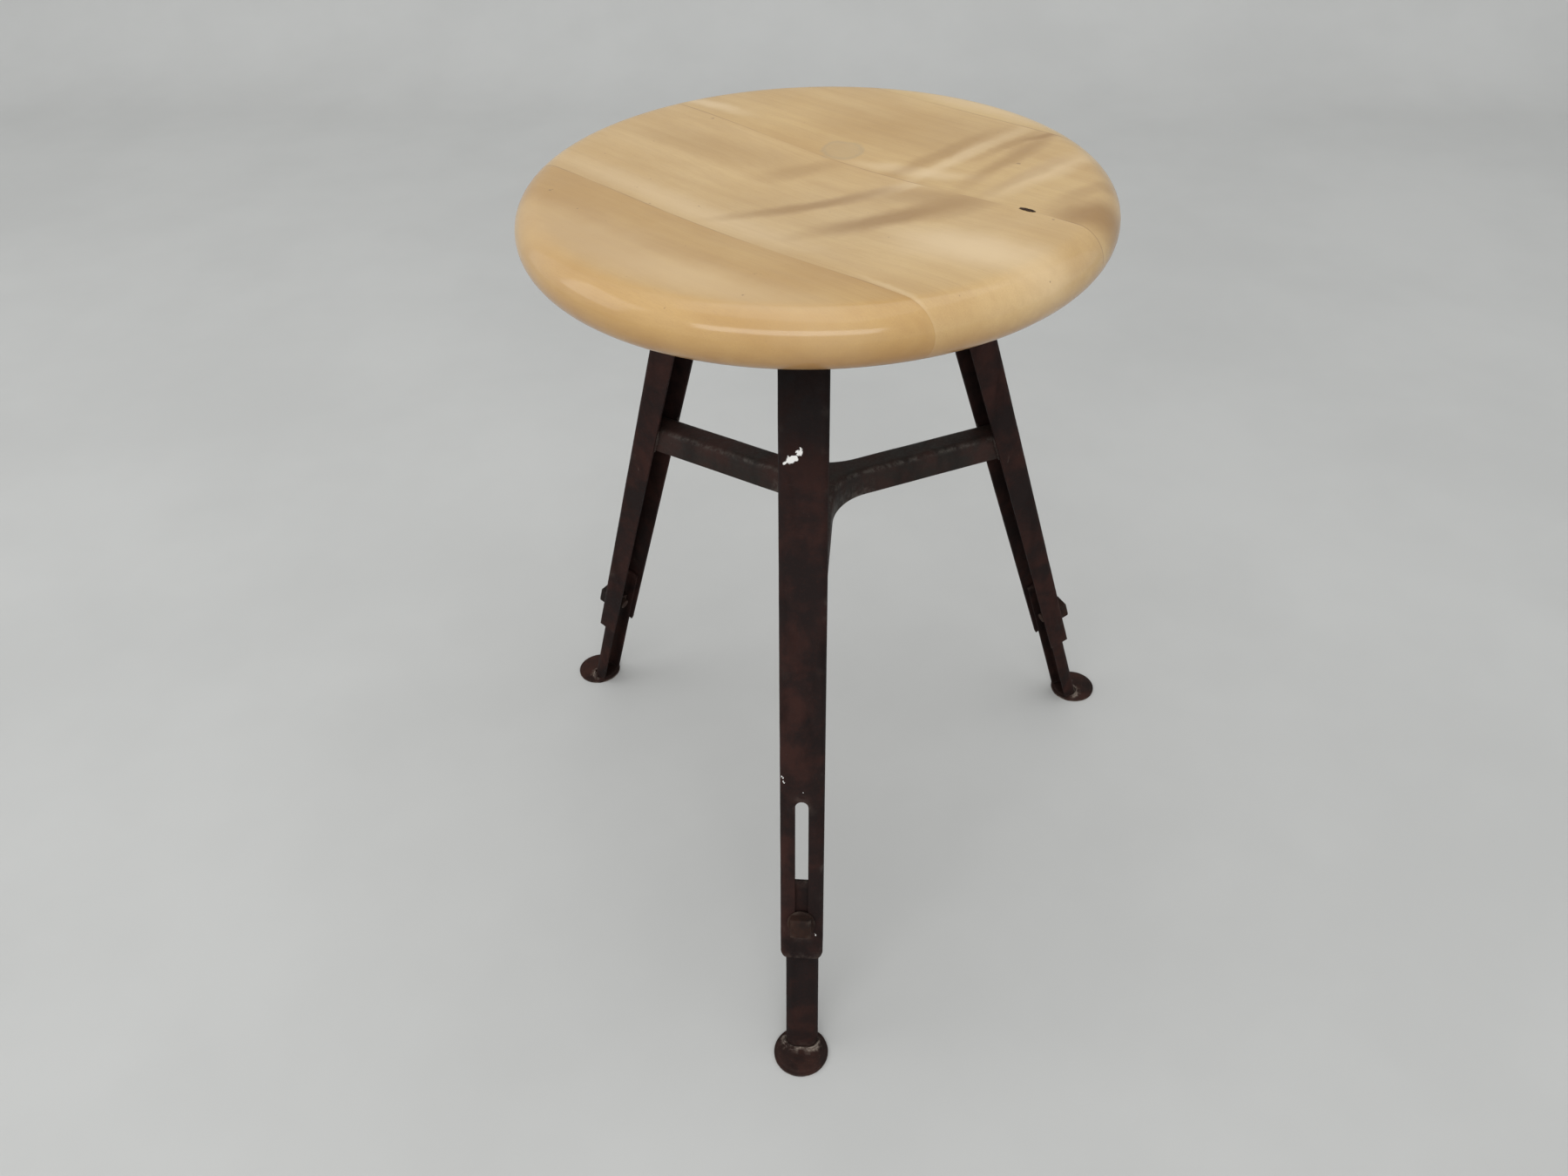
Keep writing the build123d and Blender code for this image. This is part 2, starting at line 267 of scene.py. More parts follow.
def woodMaterial(name, look):
    material, tree, shader = startMaterial(name + "Wood")
    coords = objectCoords(tree)
    grain = mapped(tree, coords, turn=(0, 0, -math.radians(seatWood["grainAzimuth"])))
    shifted = vectorNode(tree, "ADD", grain, look["shift"])
    # slow wander of the grain, so that nothing runs dead straight
    wander = noiseNode(tree, mapped(tree, shifted, stretch=(4, 10, 10)), 1, 2, 0.5, part="Color")
    wandered = nudged(tree, shifted, wander, 0.012)
    figure = noiseNode(tree, mapped(tree, wandered, stretch=seatWood["figure"]), 1, 3, 0.5, 0.4)
    rings = noiseNode(tree, mapped(tree, wandered, stretch=(9, 190, 190)), 1, 3, 0.55, 0.2)
    fibre = noiseNode(tree, mapped(tree, wandered, stretch=seatWood["fibre"]), 1, 4, 0.6)
    fleck = noiseNode(tree, mapped(tree, wandered, stretch=(320, 2600, 1300)), 1, 2, 0.5)
    cloud = noiseNode(tree, mapped(tree, shifted, stretch=(14, 20, 20)), 1, 3, 0.55)

    tone = mathNode(tree, "ADD", mathNode(tree, "MULTIPLY", figure, 0.55),
                    mathNode(tree, "MULTIPLY", cloud, 0.45))
    colour = mixColour(tree, rangeNode(tree, tone, 0.34, 0.66), look["pale"], look["deep"])
    colour = fadeIn(tree, rings, 0.35, 0.72, 0.16, colour, seatWood["ring"])
    colour = fadeIn(tree, fibre, 0.3, 0.75, 0.15, colour, seatWood["pore"])
    colour = fadeIn(tree, fleck, 0.60, 0.76, 0.20, colour, seatWood["fleck"])

    # pale patches, then smoky flames across the boards, all with feathered edges
    feather = noiseNode(tree, mapped(tree, shifted, stretch=(40, 22, 20)), 1, 4, 0.6, part="Color")
    flameCoords = nudged(tree, grain, feather, 0.013)
    for patches, softness, patchTone in ((look["lights"], 0.8, seatWood["light"]),
                                         (look["flames"], 0.7, seatWood["flame"])):
        for along, across, angle, halfLength, halfWidth, strength in patches:
            patch = blotch(tree, flameCoords, (along, across), angle, halfLength, halfWidth, softness)
            colour = mixColour(tree, mathNode(tree, "MULTIPLY", patch, strength), colour, patchTone)

    # thin dark glue lines, clear in some places and lost in others
    acrossGrain = partOf(tree, grain, "Y")
    clear = noiseNode(tree, coords, 16, 2, 0.5)
    for seam in seatWood["seams"]:
        gap = mathNode(tree, "ABSOLUTE", mathNode(tree, "SUBTRACT", acrossGrain, seam * mm))
        line = mathNode(tree, "MULTIPLY", rangeNode(tree, gap, 0.0007, 0.0001),
                        rangeNode(tree, clear, 0.42, 0.62, 0.06, 0.5))
        colour = mixColour(tree, line, colour, seatWood["glue"])

    # faint ring of an old stain, shared by the two boards that it lies across
    stainAlong, stainAcross = seatWood["stainPlace"]
    fromStain = vectorNode(tree, "SUBTRACT", flameCoords, (stainAlong * mm, stainAcross * mm, 0))
    stainDistance = vectorNode(tree, "LENGTH", mapped(tree, fromStain, stretch=(1, 1, 0)))
    stain = rangeNode(tree, stainDistance, 0.0145, 0.0105)
    stainEdge = mathNode(tree, "MULTIPLY", rangeNode(tree, stainDistance, 0.009, 0.0125), stain)
    colour = mixColour(tree, mathNode(tree, "MULTIPLY", stain, 0.20), colour, seatWood["stain"])
    colour = mixColour(tree, mathNode(tree, "MULTIPLY", stainEdge, 0.35), colour, seatWood["stainEdge"])

    # painted shade under the rim, with an amber tint: darker low on the edge
    low = rangeNode(tree, partOf(tree, coords, "Z"), seatWood["rimShadeFrom"], seatWood["rimShadeTo"])
    rimNoise = noiseNode(tree, coords, 45, 3, 0.6)
    rimShade = mathNode(tree, "MULTIPLY", low, rangeNode(tree, rimNoise, 0.25, 0.75, 0.45, 0.8))
    colour = mixColour(tree, rimShade, colour, seatWood["rimShadeAmber"])

    # specks and small scratches
    specks = noiseNode(tree, coords, 170, 2, 0.5)
    colour = fadeIn(tree, specks, 0.755, 0.79, 0.6, colour, seatWood["speck"])
    scratch = noiseNode(tree, mapped(tree, coords, turn=(0, 0, 0.9), stretch=(18, 700, 40)), 1, 2, 0.5)
    colour = fadeIn(tree, scratch, 0.77, 0.82, 0.35, colour, seatWood["scratch"])

    setSocket(tree, shader.inputs["Base Color"], colour)
    sheenPatch = noiseNode(tree, coords, 22, 3, 0.6)
    dull = seatWood["roughness"]
    setSocket(tree, shader.inputs["Roughness"], rangeNode(tree, sheenPatch, 0.3, 0.7, dull - 0.05, dull + 0.1))
    shader.inputs["Coat Weight"].default_value = seatWood["coat"]
    shader.inputs["Coat Roughness"].default_value = seatWood["coatRoughness"]
    shader.inputs["Coat IOR"].default_value = 1.5
    shader.inputs["Specular IOR Level"].default_value = 0.2
    fine = bumpNode(tree, fibre, 0.10, 0.0002)
    dents = bumpNode(tree, noiseNode(tree, coords, 60, 3, 0.6), 0.18, 0.0006, fine)
    setSocket(tree, shader.inputs["Normal"], dents)
    return material


# linear colours: dark skin, rust bloom and worn edge; the last number is how strongly painted shade under the
# seat blackens the tops of the legs
steelLooks = {
    "frame": {"dark": (0.014, 0.0085, 0.0078), "rust": (0.036, 0.0155, 0.0125), "worn": (0.105, 0.080, 0.068),
              "wear": 0.5, "rough": 0.70, "gloss": 0.09, "seatShade": 0.75},
    # brace: the bright worn tone is edge wear and also the painted highlight along its ridges
    "brace": {"dark": (0.017, 0.013, 0.0105), "rust": (0.036, 0.017, 0.0135), "worn": (0.13, 0.115, 0.10),
              "wear": 0.6, "rough": 0.60, "gloss": 0.16, "seatShade": 0.0},
    "legs": {"dark": (0.0125, 0.008, 0.0075), "rust": (0.034, 0.0145, 0.0115), "worn": (0.085, 0.062, 0.052),
             "wear": 0.45, "rough": 0.72, "gloss": 0.09, "seatShade": 0.0},
    # feet: the bright worn tone is edge wear and also the painted highlight on the bead around the foot of the
    # leg
    "feet": {"dark": (0.017, 0.010, 0.0085), "rust": (0.042, 0.018, 0.0135), "worn": (0.36, 0.30, 0.25),
             "wear": 0.8, "rough": 0.66, "gloss": 0.10, "seatShade": 0.0},
    "bolts": {"dark": (0.015, 0.0095, 0.008), "rust": (0.042, 0.019, 0.0125), "worn": (0.10, 0.075, 0.06),
              "wear": 0.45, "rough": 0.70, "gloss": 0.12, "seatShade": 0.0},
    "swivel": {"dark": (0.045, 0.040, 0.036), "rust": (0.060, 0.034, 0.025), "worn": (0.34, 0.32, 0.30),
               "wear": 0.8, "rough": 0.42, "gloss": 0.5, "seatShade": 0.0},
}


# colour and heights of the painted shade under the seat, and the colour of paint chips
steelExtras = {"seatShade": (0.004, 0.0032, 0.003), "seatShadeFrom": 0.40, "seatShadeTo": 0.47, "chip": (0.80, 0.79, 0.76)}


def steelMaterial(name, look, chips=()):
    material, tree, shader = startMaterial(name + "Steel")
    coords = objectCoords(tree)
    bloom = noiseNode(tree, coords, 38, 5, 0.62, 0.3)
    grit = noiseNode(tree, coords, 420, 4, 0.65)
    pits = noiseNode(tree, coords, 1300, 2, 0.5)
    smear = noiseNode(tree, mapped(tree, coords, stretch=(60, 60, 14)), 1, 4, 0.6)
    colour = mixColour(tree, rangeNode(tree, bloom, 0.36, 0.68), look["dark"], look["rust"])
    darker = tuple(0.45 * part for part in look["dark"])
    colour = fadeIn(tree, smear, 0.45, 0.75, 0.6, colour, darker)
    colour = fadeIn(tree, grit, 0.52, 0.78, 0.5, colour, look["rust"])
    lighter = tuple(0.6 * part for part in look["worn"])
    colour = fadeIn(tree, pits, 0.66, 0.80, 0.35, colour, lighter)

    # painted shade under the seat: blacker towards the top of the legs
    if look["seatShade"]:
        height = mathNode(tree, "ADD", partOf(tree, coords, "Z"), mathNode(tree, "MULTIPLY", bloom, 0.05))
        colour = fadeIn(tree, height, steelExtras["seatShadeFrom"], steelExtras["seatShadeTo"], look["seatShade"], colour,
                        steelExtras["seatShade"])

    # bare metal where edges have been rubbed
    wearNode = tree.nodes.new("ShaderNodeAttribute")
    wearNode.attribute_name = "wear"
    broken = noiseNode(tree, coords, 160, 5, 0.7)
    wear = mathNode(tree, "MULTIPLY", wearNode.outputs["Fac"], rangeNode(tree, broken, 0.40, 0.66),
                    clamp=True)
    wear = mathNode(tree, "MULTIPLY", wear, look["wear"])
    colour = mixColour(tree, wear, colour, look["worn"])

    scratch = noiseNode(tree, mapped(tree, coords, turn=(0.4, 0.2, 0.7), stretch=(30, 900, 60)), 1, 2, 0.5)
    colour = fadeIn(tree, scratch, 0.755, 0.80, 0.4, colour, look["worn"])

    roughness = rangeNode(tree, mathNode(tree, "ADD", mathNode(tree, "MULTIPLY", bloom, 0.6),
                                         mathNode(tree, "MULTIPLY", grit, 0.4)),
                          0.35, 0.65, look["rough"] - 0.12, look["rough"] + 0.18)
    if chips:
        ragged = noiseNode(tree, coords, 330, 4, 0.7, part="Color")
        chipCoords = nudged(tree, coords, ragged, 0.0055)
        for place, radius in chips:
            near = vectorNode(tree, "DISTANCE", chipCoords, tuple(place))
            colour = mixColour(tree, rangeNode(tree, near, radius, radius * 0.8), colour, steelExtras["chip"])
    setSocket(tree, shader.inputs["Base Color"], colour)
    setSocket(tree, shader.inputs["Roughness"], roughness)
    setSocket(tree, shader.inputs["Metallic"], mathNode(tree, "MULTIPLY", wear, 0.7))
    shader.inputs["Specular IOR Level"].default_value = look["gloss"]
    fine = bumpNode(tree, grit, 0.35, 0.0002)
    waves = bumpNode(tree, bloom, 0.25, 0.0008, fine)
    setSocket(tree, shader.inputs["Normal"], waves)
    return material


bronzeLook = {"bright": (0.42, 0.26, 0.10), "dull": (0.20, 0.115, 0.05), "turning": (0.10, 0.06, 0.03)}


def bronzeMaterial():
    material, tree, shader = startMaterial("bushBronze")
    coords = objectCoords(tree)
    cloud = noiseNode(tree, coords, 120, 4, 0.6)
    turned = noiseNode(tree, mapped(tree, coords, stretch=(20, 20, 2200)), 1, 2, 0.5)
    colour = mixColour(tree, rangeNode(tree, cloud, 0.35, 0.7), bronzeLook["bright"], bronzeLook["dull"])
    colour = fadeIn(tree, turned, 0.4, 0.7, 0.4, colour, bronzeLook["turning"])
    setSocket(tree, shader.inputs["Base Color"], colour)
    setSocket(tree, shader.inputs["Roughness"], rangeNode(tree, cloud, 0.3, 0.7, 0.28, 0.5))
    shader.inputs["Metallic"].default_value = 0.9
    setSocket(tree, shader.inputs["Normal"], bumpNode(tree, turned, 0.2, 0.0001))
    return material


def finishPiece(bm, name, material, body, slotName, *nodes, smoothAngle=28):
    mesh = bpy.data.meshes.new(name)
    bm.normal_update()
    bm.to_mesh(mesh)
    bm.free()
    mesh.materials.clear()
    mesh.materials.append(material)
    mesh.polygons.foreach_set("use_smooth", [True] * len(mesh.polygons))
    mesh.polygons.foreach_set("material_index", [0] * len(mesh.polygons))
    mesh.set_sharp_from_angle(angle=math.radians(smoothAngle))
    piece = bpy.data.objects.new(name, mesh)
    bpy.context.scene.collection.objects.link(piece)
    even = piece.modifiers.new("evenShading", "WEIGHTED_NORMAL")
    even.keep_sharp = True
    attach(piece, body)
    if nodes:
        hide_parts(*nodes)
    return piece


def sliceMesh(bm, normal, low, high, step):
    # adds edge loops on planes square to normal, from low to high
    count = int(math.ceil((high - low) / step))
    for index in range(1, count):
        place = Vector(normal) * (low + (high - low) * index / count)
        bmesh.ops.bisect_plane(bm, geom=bm.verts[:] + bm.edges[:] + bm.faces[:], dist=1e-6,
                               plane_co=place, plane_no=normal)


def markWear(bm, spots, reach):
    layer = bm.verts.layers.float.new("wear")
    if not spots:
        return
    tree = kdtree.KDTree(len(spots))
    for index, spot in enumerate(spots):
        tree.insert(spot, index)
    tree.balance()
    for vert in bm.verts:
        distance = tree.find(vert.co)[2]
        vert[layer] = math.exp(-(distance / reach) ** 2)


def markRidgeHighlights(bm, strength):
    # painted highlight: rounded ridges facing up and to the side get the bright wear tone
    layer = bm.verts.layers.float.get("wear")
    bm.normal_update()
    for vert in bm.verts:
        ridge = math.exp(-((vert.normal.z - 0.72) / 0.16) ** 2) * strength
        vert[layer] = max(vert[layer], ridge)


def markHighlightAbove(bm, height):
    # painted highlight: every point above the height gets the full bright wear tone
    layer = bm.verts.layers.float.get("wear")
    for vert in bm.verts:
        if vert.co.z > height:
            vert[layer] = 1


def dentMesh(bm, amount, size, seed):
    # pushes the surface in a little here and there, never out
    bm.normal_update()
    shift = Vector((seed * 3.1, seed * 1.7, seed * 0.9))
    moves = {}
    for vert in bm.verts:
        wave = 0.5 + 0.5 * noise.noise(vert.co / size + shift)
        moves[vert] = vert.normal * (-amount * wave)
    for vert, move in moves.items():
        vert.co += move


def cadCopy(node):
    bm = bmesh.new()
    bm.from_mesh(frame["nodes"][node].data)
    bmesh.ops.remove_doubles(bm, verts=bm.verts[:], dist=3e-6)
    bmesh.ops.dissolve_limit(bm, angle_limit=math.radians(0.6), verts=bm.verts[:], edges=bm.edges[:])
    return bm


def bevelSharp(bm, width, segments=2, angle=32):
    sharp = [edge for edge in bm.edges
             if len(edge.link_faces) == 2 and edge.calc_face_angle(0) > math.radians(angle)]
    if not sharp:
        return []
    made = bmesh.ops.bevel(bm, geom=sharp, offset=width, offset_type="OFFSET", segments=segments,
                           profile=0.5, affect="EDGES", clamp_overlap=True, loop_slide=True)
    return [vert.co.copy() for face in made["faces"] for vert in face.verts]


def steelPiece(node, material, body, slotName, bevel=0.35, slices=(), dent=0.0, reach=1.6, seed=1.0,
               ridgeHighlight=0.0, beadHighlightAbove=None):
    bm = cadCopy(node)
    spots = bevelSharp(bm, bevel * mm)
    bmesh.ops.triangulate(bm, faces=[face for face in bm.faces if len(face.verts) > 4])
    for normal, step in slices:
        direction = Vector(normal).normalized()
        reaches = [vert.co.dot(direction) for vert in bm.verts]
        sliceMesh(bm, direction, min(reaches), max(reaches), step * mm)
    markWear(bm, spots, reach * mm)
    # painted highlights: the brace's rounded ridges and the foot beads get the bright wear tone
    if ridgeHighlight:
        markRidgeHighlights(bm, ridgeHighlight)
    if beadHighlightAbove:
        markHighlightAbove(bm, beadHighlightAbove * mm)
    if dent:
        dentMesh(bm, dent * mm, 0.018, seed)
    return finishPiece(bm, node + "_look", material, body, slotName, node)


levelAxes = ((1, 0, 0), (0, 1, 0))


def gridSlices(step, axes=(*levelAxes, (0, 0, 1))):
    return tuple((axis, step) for axis in axes)


def bodyOf(node):
    return frame["nodes"][node]["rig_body"]


seatShape = {
    "radius": 0.175,
    "dish": 0.007,
    "rings": 56,
    "around": 288,
    "rimSteps": 20,
    "underSteps": 16,
}


def seatHeights():
    low = min(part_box(node)[0].z for node in boardLooks)
    high = max(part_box(node)[1].z for node in boardLooks)
    return low, high


def dishHeight(share, high):
    # share is 0 on the axis and 1 at the crest of the rim
    return high - seatShape["dish"] * (1 - share * share * (3 - 2 * share))


def seatProfile():
    low, high = seatHeights()
    edge = (high - low) / 2
    crest = seatShape["radius"] - edge
    points = []
    for index in range(1, seatShape["rings"] + 1):
        share = index / seatShape["rings"]
        points.append((crest * share, dishHeight(share, high)))
    for index in range(1, seatShape["rimSteps"] + 1):
        angle = math.pi / 2 - math.pi * index / seatShape["rimSteps"]
        points.append((crest + edge * math.cos(angle), low + edge + edge * math.sin(angle)))
    for index in range(1, seatShape["underSteps"]):
        points.append((crest * (1 - index / seatShape["underSteps"]), low))
    return points, high - seatShape["dish"], low


def seatSolid():
    # the whole turned seat as one closed mesh
    points, topCentre, bottomCentre = seatProfile()
    around = seatShape["around"]
    bm = bmesh.new()
    rings = []
    for radius, height in points:
        rings.append([bm.verts.new((radius * math.cos(2 * math.pi * step / around),
                                    radius * math.sin(2 * math.pi * step / around), height))
                      for step in range(around)])
    for upper, lower in zip(rings, rings[1:]):
        for step in range(around):
            after = (step + 1) % around
            bm.faces.new((upper[step], lower[step], lower[after], upper[after]))
    top = bm.verts.new((0, 0, topCentre))
    bottom = bm.verts.new((0, 0, bottomCentre))
    for step in range(around):
        after = (step + 1) % around
        bm.faces.new((top, rings[0][step], rings[0][after]))
        bm.faces.new((bottom, rings[-1][after], rings[-1][step]))
    bmesh.ops.recalc_face_normals(bm, faces=bm.faces[:])
    return bm


def makeSeat():
    grain = math.radians(seatWood["grainAzimuth"])
    across = Vector((-math.sin(grain), math.cos(grain), 0))
    limits = (None, *seatWood["seams"], None)
    for (node, look), low, high in zip(boardLooks.items(), limits, limits[1:]):
        bm = seatSolid()
        for limit, side in ((low, -1), (high, 1)):
            if limit is None:
                continue
            cut = bmesh.ops.bisect_plane(bm, geom=bm.verts[:] + bm.edges[:] + bm.faces[:], dist=1e-6,
                                         plane_co=across * limit * mm, plane_no=across * side,
                                         clear_outer=True)
            loop = [edge for edge in cut["geom_cut"] if isinstance(edge, bmesh.types.BMEdge)]
            bmesh.ops.contextual_create(bm, geom=loop)
        finishPiece(bm, node + "_look", woodMaterial(node, look), "seat", "seat_wood", node,
                    smoothAngle=40)
    print("seat: four boards, turned and dished")


# open crack in the joint between two boards, drawn as a thin sheet of painted shade lying on the surface
crackShape = {
    "along": 120.5,
    "across": 39.0,
    "offJoint": 0.4,
    "length": 10.5,
    "width": 3.4,
    "height": 0.12,
    "thickness": 0.4,
    "steps": 14,
    "columns": (-1, -0.4, 0.4, 1),
    # near-black painted shade of the open gap, flecked with the brown below
    "dark": (0.022, 0.010, 0.006),
    "brown": (0.12, 0.06, 0.028),
}


def makeCrack():
    grain = math.radians(seatWood["grainAzimuth"])
    alongWay = Vector((math.cos(grain), math.sin(grain), 0))
    acrossWay = Vector((-math.sin(grain), math.cos(grain), 0))
    material, tree, shader = startMaterial("crackShadeSheet")
    coords = objectCoords(tree)
    grit = noiseNode(tree, coords, 900, 3, 0.6)
    # painted shade: the sheet is near black, flecked with brown
    setSocket(tree, shader.inputs["Base Color"],
              mixColour(tree, rangeNode(tree, grit, 0.35, 0.65), crackShape["dark"], crackShape["brown"]))
    shader.inputs["Roughness"].default_value = 0.8
    setSocket(tree, shader.inputs["Normal"], bumpNode(tree, grit, 0.5, 0.0003))
    low, high = seatHeights()
    crest = seatShape["radius"] - (high - low) / 2

    def topAt(x, y):
        return dishHeight(min(1.0, math.hypot(x, y) / crest), high)

    random.seed(5)
    bm = bmesh.new()
    rows = []
    for index in range(crackShape["steps"] + 1):
        share = index / crackShape["steps"]
        taper = math.sin(math.pi * min(1, max(0.04, share))) ** 0.35
        along = crackShape["along"] + crackShape["length"] * (share - 0.5)
        half = crackShape["width"] / 2 * taper * (0.8 + 0.3 * random.random())
        row = []
        for side in crackShape["columns"]:
            offset = crackShape["across"] + crackShape["offJoint"] + side * half
            spot = (alongWay * along + acrossWay * offset) * mm
            lift = crackShape["height"] * mm * (1 if abs(side) == 1 else 0.55)
            row.append(bm.verts.new((spot.x, spot.y, topAt(spot.x, spot.y) + lift)))
        rows.append(row)
    for first, second in zip(rows, rows[1:]):
        for column in range(len(crackShape["columns"]) - 1):
            bm.faces.new((first[column], second[column], second[column + 1], first[column + 1]))
    bmesh.ops.solidify(bm, geom=bm.faces[:], thickness=crackShape["thickness"] * mm)
    bmesh.ops.recalc_face_normals(bm, faces=bm.faces[:])
    finishPiece(bm, "crack_shade_sheet", material, "seat", "seat_wood")
    print("joint sliver")


# mm; along is measured up the leg
legShape = {
    "bevel": 0.45,
    "slice": 6,
    "dent": 0.18,
    "reach": 1.8,
    "boltAlong": 108,
    "chips": (                      # sideways, along, radius
        (-7.6, 420.2, 2.6),
        (-5.2, 421.5, 2.2),
        (-2.2, 424.6, 2.0),
        (-1.4, 426.4, 1.3),
        (-10.4, 418.8, 1.3),
        (-12.3, 215.4, 1.0),
        (-11.6, 213.6, 0.9),
        (-10.9, 211.9, 0.7),
        (0.4, 205.7, 0.45),
        (9.6, 99.0, 0.75),
    ),
}
# the last number is the strength of the painted highlight along the brace's rounded ridges
braceShape = {"bevel": 0.4, "slice": 6, "dent": 0.15, "reach": 1.6, "ridgeHighlight": 0.9}
plateShape = {"bevel": 0.25, "reach": 1.2, "slices": {"top_plate": 5, "leg_rivets": 2, "pivot_housing": 3}}


def legFoot(name):
    # point on the leg's web that the distances along it start from
    up = Vector(joints[f"leg_{name}_slide"]["axis"])
    bolt = Vector(joints[f"clamp_bolt_{name}_turn"]["pos_m"])
    return bolt - up * (legShape["boltAlong"] * mm), up


def makeFrame():
    foot, slide = legFoot("front")
    chipPlaces = [(foot + Vector((sideways * mm, 0, 0)) + slide * along * mm, radius * mm)
                  for sideways, along, radius in legShape["chips"]]
    for name in legNames:
        up = joints[f"leg_{name}_slide"]["axis"]
        node = f"outer_leg_{name}"
        chips = chipPlaces if name == "front" else ()
        steelPiece(node, steelMaterial(node, steelLooks["frame"], chips), bodyOf(node), "frame_steel",
                   bevel=legShape["bevel"], slices=((up, legShape["slice"]),), dent=legShape["dent"],
                   reach=legShape["reach"], seed=legNames.index(name) + 1)
    steelPiece("y_brace", steelMaterial("brace", steelLooks["brace"]), bodyOf("y_brace"), "frame_steel",
               bevel=braceShape["bevel"], slices=gridSlices(braceShape["slice"], levelAxes),
               dent=braceShape["dent"], reach=braceShape["reach"], seed=5, ridgeHighlight=braceShape["ridgeHighlight"])
    plateLook = steelMaterial("topPlate", steelLooks["frame"])
    for node, step in plateShape["slices"].items():
        steelPiece(node, plateLook, bodyOf(node), "frame_steel", bevel=plateShape["bevel"],
                   slices=gridSlices(step), reach=plateShape["reach"])
    print("frame: legs, brace and top plate")


weldShape = {
    "side": 11.2,                   # from the middle of the leg
    "depth": 19.6,                  # behind its web
    "low": 304.0,
    "high": 325.0,
    "radius": 1.5,
    "ripple": 0.22,
    "ripplePitch": 1.9,
    "rough": 0.15,
    "wear": 0.5,
    "steps": 26,
    "around": 10,
}


def weldCentre(foot, up, out, across, along, side):
    back = foot + up * along * mm - out * weldShape["depth"] * mm
    return back + across * side * weldShape["side"] * mm


def makeWelds():
    # lumpy beads where the brace enters each leg, one each side
    material = steelMaterial("weld", steelLooks["brace"])
    random.seed(9)
    for name in legNames:
        foot, up = legFoot(name)
        out = Vector(joints[f"clamp_bolt_{name}_turn"]["axis"])
        across = up.cross(out)
        bm = bmesh.new()
        for side in (-1, 1):
            rings = []
            for step in range(weldShape["steps"] + 1):
                share = step / weldShape["steps"]
                along = weldShape["low"] + (weldShape["high"] - weldShape["low"]) * share
                centre = weldCentre(foot, up, out, across, along, side)
                ends = math.sin(math.pi * min(0.97, max(0.03, share))) ** 0.4
                lumps = 0.85 + weldShape["ripple"] * math.sin(step * weldShape["ripplePitch"])
                size = weldShape["radius"] * ends * (lumps + weldShape["rough"] * random.random())
                turns = [2 * math.pi * part / weldShape["around"] for part in range(weldShape["around"])]
                rings.append([
                    bm.verts.new(centre + (across * math.cos(turn) + out * math.sin(turn)) * size * mm)
                    for turn in turns])
            for first, second in zip(rings, rings[1:]):
                for part in range(weldShape["around"]):
                    after = (part + 1) % weldShape["around"]
                    bm.faces.new((first[part], first[after], second[after], second[part]))
            bm.faces.new(rings[0])
            bm.faces.new(rings[-1])
        bmesh.ops.recalc_face_normals(bm, faces=bm.faces[:])
        layer = bm.verts.layers.float.new("wear")
        for vert in bm.verts:
            vert[layer] = weldShape["wear"]
        finishPiece(bm, "brace_weld_" + name, material, "frame", "frame_steel", smoothAngle=60)
    print("weld beads")


lowerLegShape = {"bevel": 0.4, "slice": 6, "dent": 0.1}
# the bead above this height gets the bright worn tone as a painted highlight
footShape = {"bevel": 0.2, "slice": 3, "reach": 0.8, "beadHighlightAbove": 4.3}


def makeLowerLegs():
    for name in legNames:
        up = joints[f"leg_{name}_slide"]["axis"]
        node = f"lower_leg_{name}"
        steelPiece(node, steelMaterial(node, steelLooks["legs"]), bodyOf(node), "leg_steel",
                   bevel=lowerLegShape["bevel"], slices=((up, lowerLegShape["slice"]),),
                   dent=lowerLegShape["dent"], seed=legNames.index(name) + 11)
        foot = f"foot_disc_{name}"
        steelPiece(foot, steelMaterial(foot, steelLooks["feet"]), bodyOf(foot), "foot_steel",
                   bevel=footShape["bevel"], slices=gridSlices(footShape["slice"], levelAxes),
                   reach=footShape["reach"], beadHighlightAbove=footShape["beadHighlightAbove"])
    print("lower legs and feet")


clampShape = {"bevel": 0.4, "slice": 2, "reach": 0.9, "dent": 0.12}
swivelShape = {"bevel": 0.25, "slice": 2.5, "plateSlice": 5, "reach": 0.8}
bushShape = {"bevel": 0.2, "slice": 4}


def makeFasteners():
    look = steelMaterial("bolt", steelLooks["bolts"])
    for name in legNames:
        out = Vector(joints[f"clamp_bolt_{name}_turn"]["axis"])
        up = Vector(joints[f"leg_{name}_slide"]["axis"])
        for kind in ("clamp_washer", "clamp_bolt", "clamp_nut"):
            node = f"{kind}_{name}"
            steelPiece(node, look, bodyOf(node), "fastener_steel", bevel=clampShape["bevel"],
                       slices=gridSlices(clampShape["slice"], (out, up, out.cross(up))),
                       reach=clampShape["reach"], dent=clampShape["dent"])
    swivelLook = steelMaterial("swivel", steelLooks["swivel"])
    for node in ("thrust_washer", "seat_plate", "seat_screws", "spindle", "retaining_washer",
                 "castle_nut", "split_pin"):
        step = swivelShape["plateSlice" if node == "seat_plate" else "slice"]
        steelPiece(node, swivelLook, bodyOf(node), "fastener_steel", bevel=swivelShape["bevel"],
                   slices=gridSlices(step), reach=swivelShape["reach"])
    steelPiece("swivel_bush", bronzeMaterial(), bodyOf("swivel_bush"), "bush_bronze",
               bevel=bushShape["bevel"], slices=gridSlices(bushShape["slice"]))
    print("fasteners and swivel")


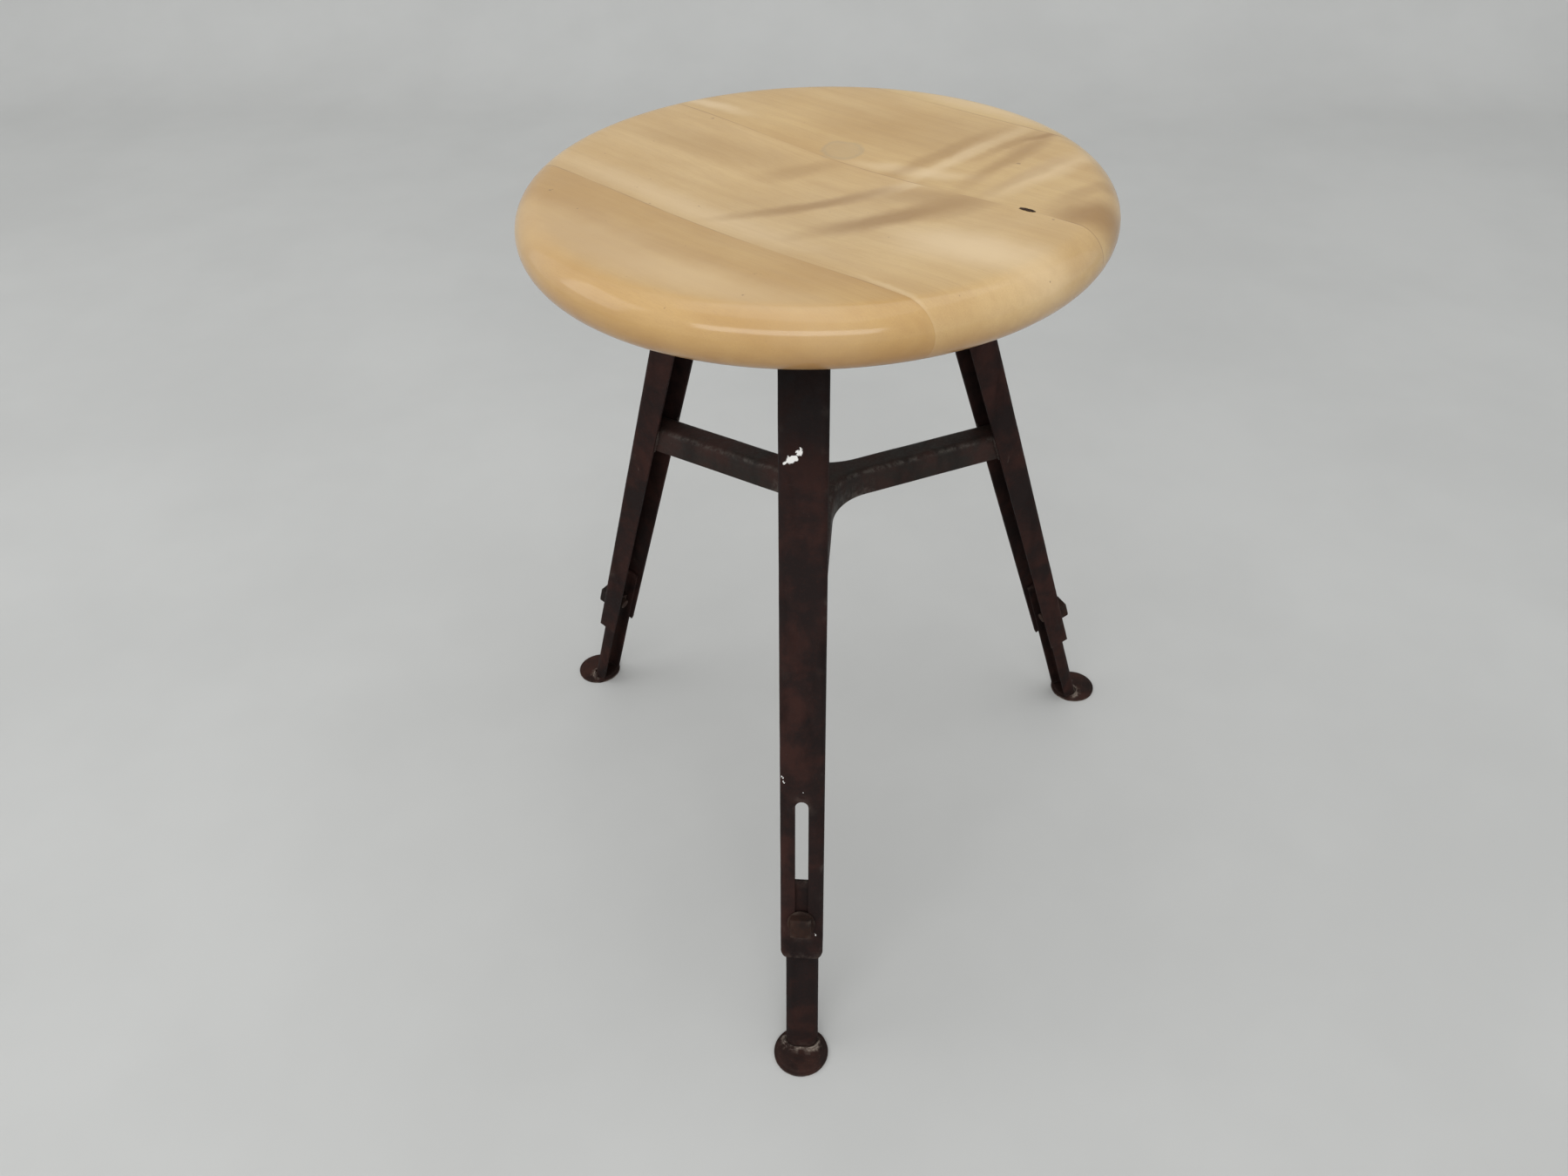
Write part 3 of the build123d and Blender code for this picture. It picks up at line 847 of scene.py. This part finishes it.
stageLook = {
    "floor": (0.53, 0.53, 0.515),
    "sky": 0.80,
    "skyTint": (0.96, 0.98, 1.0, 1),
    "near": -3.0,
    "far": 1.6,
    "side": 3.5,
    "sweep": 0.5,
    "sweepSteps": 12,
    "height": 4.0,
    "aim": (0, 0, 0.3),
    # place, width, height, power: a large soft light overhead, an open-sky glow from behind the
    # camera and a weaker one from the left
    "lights": {
        "overhead": ((0.1, 0.2, 2.8), 2.4, 2.4, 13.0),
        "openSky": ((-0.3, -2.5, 1.95), 3.4, 0.75, 30.0),
        "leftSide": ((-2.4, -0.3, 1.5), 1.4, 1.4, 9.0),
    },
}


def makeBackdrop():
    bm = bmesh.new()
    far, side, sweep, steps = (stageLook[key] for key in ("far", "side", "sweep", "sweepSteps"))
    profile = [(stageLook["near"], 0), (far, 0)]
    for step in range(1, steps + 1):
        angle = math.pi / 2 * step / steps
        profile.append((far + sweep * math.sin(angle), sweep * (1 - math.cos(angle))))
    profile.append((far + sweep, stageLook["height"]))
    rows = [[bm.verts.new((x, y, z)) for x in (-side, side)] for y, z in profile]
    for first, second in zip(rows, rows[1:]):
        bm.faces.new((first[0], first[1], second[1], second[0]))
    mesh = bpy.data.meshes.new("backdrop")
    bm.to_mesh(mesh)
    bm.free()
    for face in mesh.polygons:
        face.use_smooth = True
    material, tree, shader = startMaterial("paleBackdrop")
    coords = objectCoords(tree)
    cloud = noiseNode(tree, coords, 3, 4, 0.6)
    paper = tuple(0.94 * part for part in stageLook["floor"])
    setSocket(tree, shader.inputs["Base Color"],
              mixColour(tree, rangeNode(tree, cloud, 0.3, 0.7), stageLook["floor"], paper))
    shader.inputs["Roughness"].default_value = 0.9
    mesh.materials.append(material)
    backdrop = bpy.data.objects.new("backdrop", mesh)
    bpy.context.scene.collection.objects.link(backdrop)


def makeLights():
    world = bpy.data.worlds.new("softSky")
    bpy.context.scene.world = world
    world.use_nodes = True
    background = world.node_tree.nodes["Background"]
    background.inputs["Color"].default_value = stageLook["skyTint"]
    background.inputs["Strength"].default_value = stageLook["sky"]
    aim = Vector(stageLook["aim"])
    for name, (place, width, height, power) in stageLook["lights"].items():
        light = bpy.data.lights.new(name, "AREA")
        light.shape = "RECTANGLE"
        light.size = width
        light.size_y = height
        light.energy = power
        lamp = bpy.data.objects.new(name, light)
        lamp.location = place
        lamp.rotation_euler = (aim - Vector(place)).to_track_quat("-Z", "Y").to_euler()
        bpy.context.scene.collection.objects.link(lamp)
    bpy.context.scene.view_settings.view_transform = "Standard"
    print("stage and lights")


cameraPlace = {
    "place": (0.0526, -0.7166, 0.7961),
    "yaw": -6.35,
    "pitch": 39.27,
    "roll": -2.2,
    "lens": 29.088,
    "sensor": 36,
}


def makeCamera():
    yaw, pitch, roll = (math.radians(cameraPlace[key]) for key in ("yaw", "pitch", "roll"))
    forward = Vector((math.sin(yaw) * math.cos(pitch), math.cos(yaw) * math.cos(pitch), -math.sin(pitch)))
    level = Vector((math.cos(yaw), -math.sin(yaw), 0))
    upright = level.cross(forward)
    right = level * math.cos(roll) + upright * math.sin(roll)
    up = upright * math.cos(roll) - level * math.sin(roll)
    matrix = Matrix((right, up, -forward)).transposed().to_4x4()
    matrix.translation = Vector(cameraPlace["place"])
    data = bpy.data.cameras.new("camera")
    data.sensor_width = cameraPlace["sensor"]
    data.lens = cameraPlace["lens"]
    data.clip_start = 0.01
    camera = bpy.data.objects.new("camera", data)
    bpy.context.scene.collection.objects.link(camera)
    camera.matrix_world = matrix
    bpy.context.scene.camera = camera
    print("camera")


makeSeat()
makeCrack()
makeFrame()
makeWelds()
makeLowerLegs()
makeFasteners()
makeBackdrop()
makeLights()
makeCamera()
